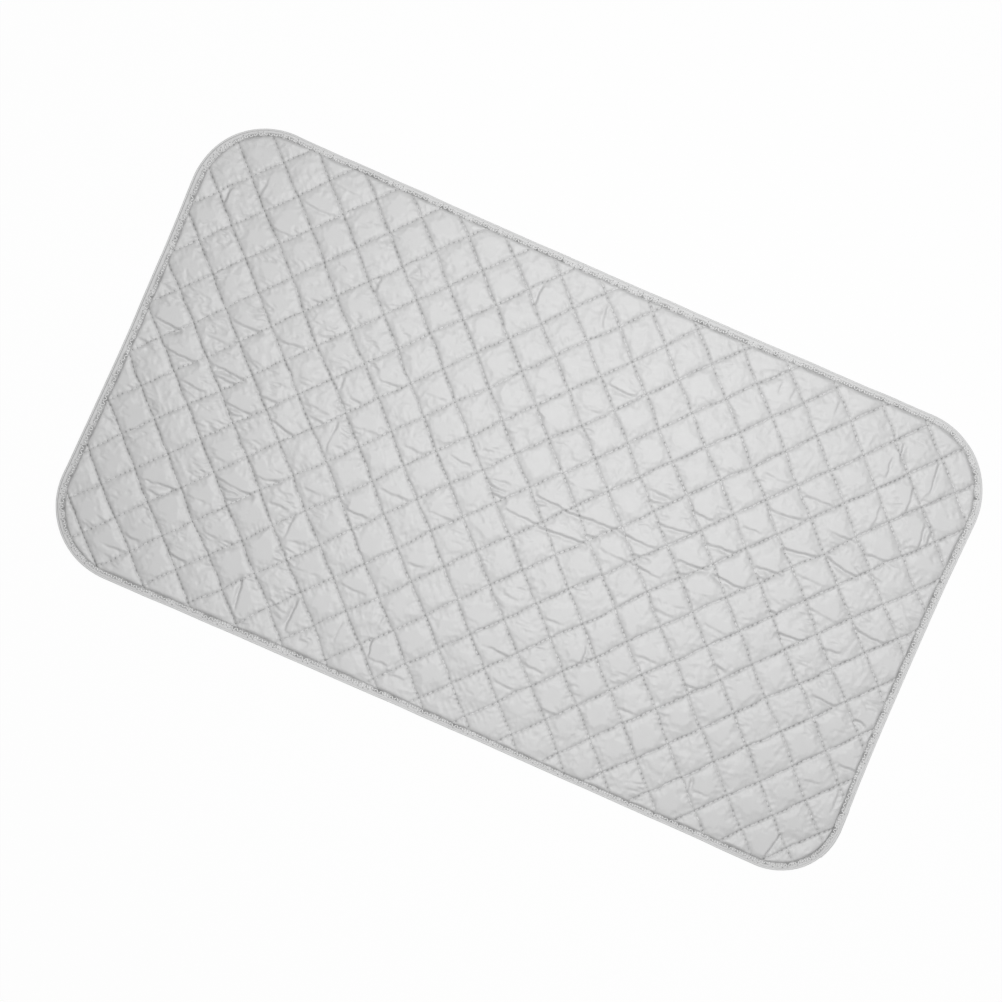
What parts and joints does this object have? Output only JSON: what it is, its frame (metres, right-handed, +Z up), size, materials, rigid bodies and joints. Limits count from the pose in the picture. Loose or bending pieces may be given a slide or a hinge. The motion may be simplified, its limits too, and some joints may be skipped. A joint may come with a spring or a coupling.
{
  "type": "ironing pad",
  "caption": "Flat quilted ironing pad with rounded corners: silver-coated face cloth, wadding and backing sewn in diamonds and bound with tape, laid on a table as a heat-proof pressing surface.",
  "frame": {"origin": "middle of the pad's outline, on the surface that it lies on", "axes": "+X along the long side, +Y across the pad, +Z up out of the ironing face"},
  "size_m": [0.85, 0.48, 0.0056],
  "materials": {
    "silver_cloth": "satin",
    "wadding": "matte",
    "backing_cloth": "matte",
    "binding_tape": "matte",
    "thread": "satin"
  },
  "bodies": {
    "root": {"face_cloth": "silver_cloth", "wadding": "wadding", "backing_cloth": "backing_cloth", "edge_binding": "binding_tape", "binding_seam_face": "thread", "binding_seam_back": "thread", "quilting_thread_a01": "thread", "quilting_thread_a02": "thread", "quilting_thread_a03": "thread", "quilting_thread_a04": "thread", "quilting_thread_a05": "thread", "quilting_thread_a06": "thread", "quilting_thread_a07": "thread", "quilting_thread_a08": "thread", "quilting_thread_a09": "thread", "quilting_thread_a10": "thread", "quilting_thread_a11": "thread", "quilting_thread_a12": "thread", "quilting_thread_a13": "thread", "quilting_thread_a14": "thread", "quilting_thread_a15": "thread", "quilting_thread_a16": "thread", "quilting_thread_a17": "thread", "quilting_thread_a18": "thread", "quilting_thread_a19": "thread", "quilting_thread_a20": "thread", "quilting_thread_a21": "thread", "quilting_thread_a22": "thread", "quilting_thread_a23": "thread", "quilting_thread_a24": "thread", "quilting_thread_b01": "thread", "quilting_thread_b02": "thread", "quilting_thread_b03": "thread", "quilting_thread_b04": "thread", "quilting_thread_b05": "thread", "quilting_thread_b06": "thread", "quilting_thread_b07": "thread", "quilting_thread_b08": "thread", "quilting_thread_b09": "thread", "quilting_thread_b10": "thread", "quilting_thread_b11": "thread", "quilting_thread_b12": "thread", "quilting_thread_b13": "thread", "quilting_thread_b14": "thread", "quilting_thread_b15": "thread", "quilting_thread_b16": "thread", "quilting_thread_b17": "thread", "quilting_thread_b18": "thread", "quilting_thread_b19": "thread", "quilting_thread_b20": "thread", "quilting_thread_b21": "thread", "quilting_thread_b22": "thread", "quilting_thread_b23": "thread", "quilting_thread_b24": "thread"}
  },
  "joints": []
}
